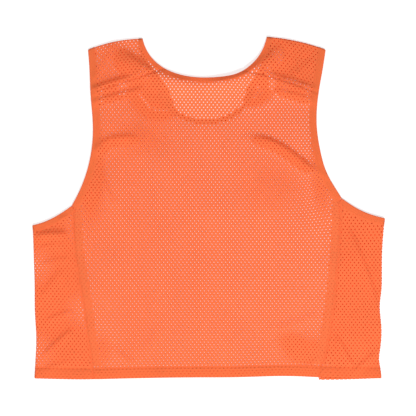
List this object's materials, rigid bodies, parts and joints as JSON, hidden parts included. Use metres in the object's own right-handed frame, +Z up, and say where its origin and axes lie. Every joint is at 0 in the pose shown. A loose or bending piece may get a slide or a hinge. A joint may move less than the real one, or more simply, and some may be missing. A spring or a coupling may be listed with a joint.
{
  "type": "mesh pullover vest",
  "caption": "Sleeveless blaze orange mesh vest laid flat, back side up, with bound neck and armholes, wrapped side panels that fold in, shoulder yokes and a stitched hem.",
  "frame": {"origin": "middle of the vest's underside, on the surface that it lies on", "axes": "+Z up out of the back of the vest, +Y from the hem towards the neck, +X towards the right side as it lies"},
  "size_m": [0.643, 0.622, 0.0051],
  "materials": {
    "mesh_cloth": "polyester knit mesh with rows of small staggered holes, blaze orange, slight sheen",
    "plain_band": "the same orange knit turned over into plain double bands and hems",
    "seam_tape": "thin plain orange tape sewn over the side seams on the inside",
    "sewing_thread": "orange polyester sewing thread in lock stitches"
  },
  "bodies": {
    "vest_body": {"back_hem": "plain_band", "back_hem_stitching": "sewing_thread", "back_neck_stitching": "sewing_thread", "back_panel": "mesh_cloth", "front_hem": "plain_band", "front_hem_stitching": "sewing_thread", "front_neck_stitching": "sewing_thread", "front_panel": "mesh_cloth", "left_armhole_binding": "plain_band", "left_back_armhole_stitching": "sewing_thread", "left_back_seam_stitching": "sewing_thread", "left_back_seam_tape": "seam_tape", "left_back_shoulder_stitching": "sewing_thread", "left_front_armhole_stitching": "sewing_thread", "left_front_seam_stitching": "sewing_thread", "left_front_seam_tape": "seam_tape", "left_front_shoulder_stitching": "sewing_thread", "left_shoulder_yoke": "mesh_cloth", "neck_binding": "plain_band", "right_armhole_binding": "plain_band", "right_back_armhole_stitching": "sewing_thread", "right_back_seam_stitching": "sewing_thread", "right_back_seam_tape": "seam_tape", "right_back_shoulder_stitching": "sewing_thread", "right_front_armhole_stitching": "sewing_thread", "right_front_seam_stitching": "sewing_thread", "right_front_seam_tape": "seam_tape", "right_front_shoulder_stitching": "sewing_thread", "right_shoulder_yoke": "mesh_cloth"},
    "left_side": {"left_back_side_hem_stitching": "sewing_thread", "left_back_underarm_stitching": "sewing_thread", "left_front_side_hem_stitching": "sewing_thread", "left_front_underarm_stitching": "sewing_thread", "left_side_hem": "plain_band", "left_side_panel": "mesh_cloth", "left_underarm_hem": "plain_band"},
    "right_side": {"right_back_side_hem_stitching": "sewing_thread", "right_back_underarm_stitching": "sewing_thread", "right_front_side_hem_stitching": "sewing_thread", "right_front_underarm_stitching": "sewing_thread", "right_side_hem": "plain_band", "right_side_panel": "mesh_cloth", "right_underarm_hem": "plain_band"}
  },
  "joints": [
    {"name": "left_side_fold", "type": "hinge", "parent": "vest_body", "child": "left_side", "pos_m": [-0.23, -0.1525, 0.0054], "axis": [-0.119, 0.9929, 0], "range_deg": [0, 175]},
    {"name": "right_side_fold", "type": "hinge", "parent": "vest_body", "child": "right_side", "pos_m": [0.23, -0.1525, 0.0054], "axis": [-0.119, -0.9929, 0], "range_deg": [0, 175]}
  ]
}
